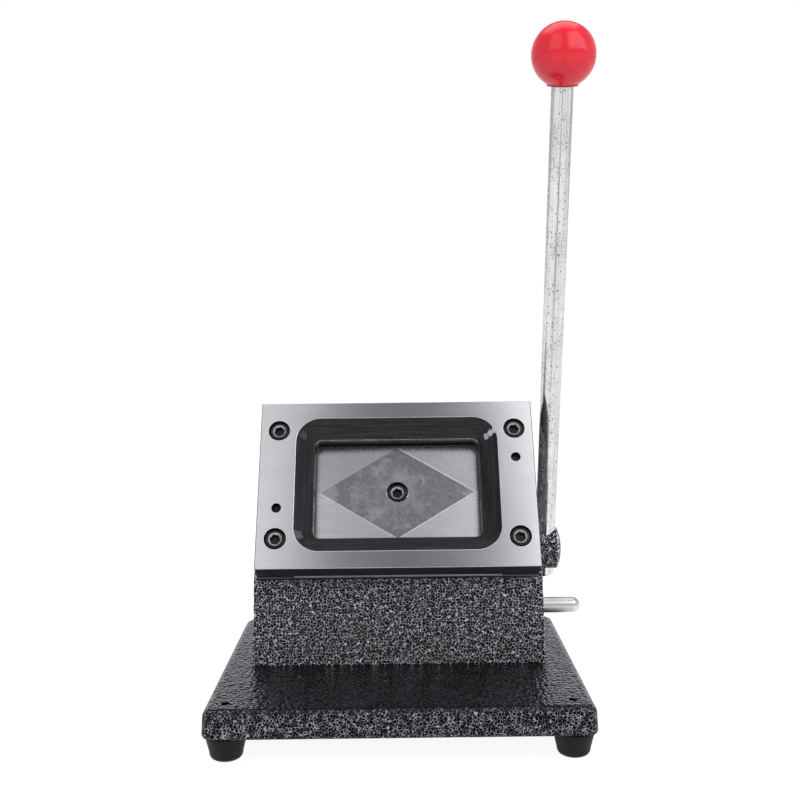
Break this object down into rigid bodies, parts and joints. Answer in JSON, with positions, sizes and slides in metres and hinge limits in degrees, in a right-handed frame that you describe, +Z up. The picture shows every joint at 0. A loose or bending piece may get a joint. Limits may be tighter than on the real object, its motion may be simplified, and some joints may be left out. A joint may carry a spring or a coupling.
{
  "type": "manual die cutting machine",
  "caption": "Bench card cutter: a side lever turns a cam that drives a punch out through the window of a sloping die plate on a cast body and base.",
  "frame": {"origin": "on the table, under the middle of the box around the whole part; the middle of the base lies 3.9 mm to the left of it, because the knob stands out on the right", "axes": "+X to the operator's right, where the lever is; +Y away from the operator; +Z up"},
  "size_m": [0.1904, 0.157, 0.3454],
  "materials": {
    "hammertone_paint": "charcoal hammertone enamel on cast iron",
    "black_rubber": "matt moulded rubber",
    "ground_steel": "surface ground",
    "tool_steel": "hardened and ground",
    "polished_steel": "polished",
    "zinc_steel": "zinc plated",
    "black_oxide": "black oxide",
    "cast_ram": "machined casting",
    "bronze": "turned",
    "chrome_plate": "plated, slightly pitted",
    "red_plastic": "moulded, glossy"
  },
  "bodies": {
    "frame": {"base_plate": "hammertone_paint", "rubber_feet": "black_rubber", "foot_screws": "zinc_steel", "body_casting": "hammertone_paint", "body_screws": "black_oxide", "die_plate": "ground_steel", "sheet_spacer_left": "ground_steel", "sheet_spacer_right": "ground_steel", "sheet_table": "ground_steel", "die_screws": "black_oxide", "dowel_pins": "polished_steel", "pillar_bushes": "bronze", "return_spring_left": "zinc_steel", "return_spring_right": "zinc_steel", "shaft_bush_left": "bronze", "shaft_bush_right": "bronze", "thrust_washer_left": "zinc_steel", "thrust_washer_right": "zinc_steel", "stop_pin": "polished_steel"},
    "lever": {"drive_shaft": "polished_steel", "cam": "tool_steel", "cam_key": "polished_steel", "retaining_ring": "black_oxide", "lever_hub": "hammertone_paint", "hub_set_screw": "black_oxide", "lever_rod": "chrome_plate", "knob_insert": "bronze", "ball_knob": "red_plastic"},
    "punch_ram": {"punch": "tool_steel", "punch_screw": "black_oxide", "ram": "cast_ram", "guide_pillars": "polished_steel", "cam_strip": "tool_steel", "strip_screws": "black_oxide"}
  },
  "joints": [
    {"name": "lever_turn", "type": "hinge", "parent": "frame", "child": "lever", "pos_m": [0, 0.04958, 0.07236], "axis": [1, 0, 0], "range_deg": [0, 84]},
    {"name": "ram_slide", "type": "slide", "parent": "frame", "child": "punch_ram", "axis": [0, -0.8572, 0.515], "range_m": [0, 0.0081], "stiffness_N_per_m": 4000, "springref_m": -0.008, "deforming": ["return_spring_left", "return_spring_right"]}
  ],
  "couplings": [
    {"joint": "ram_slide", "follows": "lever_turn", "m_per_rad": 0.0055}
  ]
}
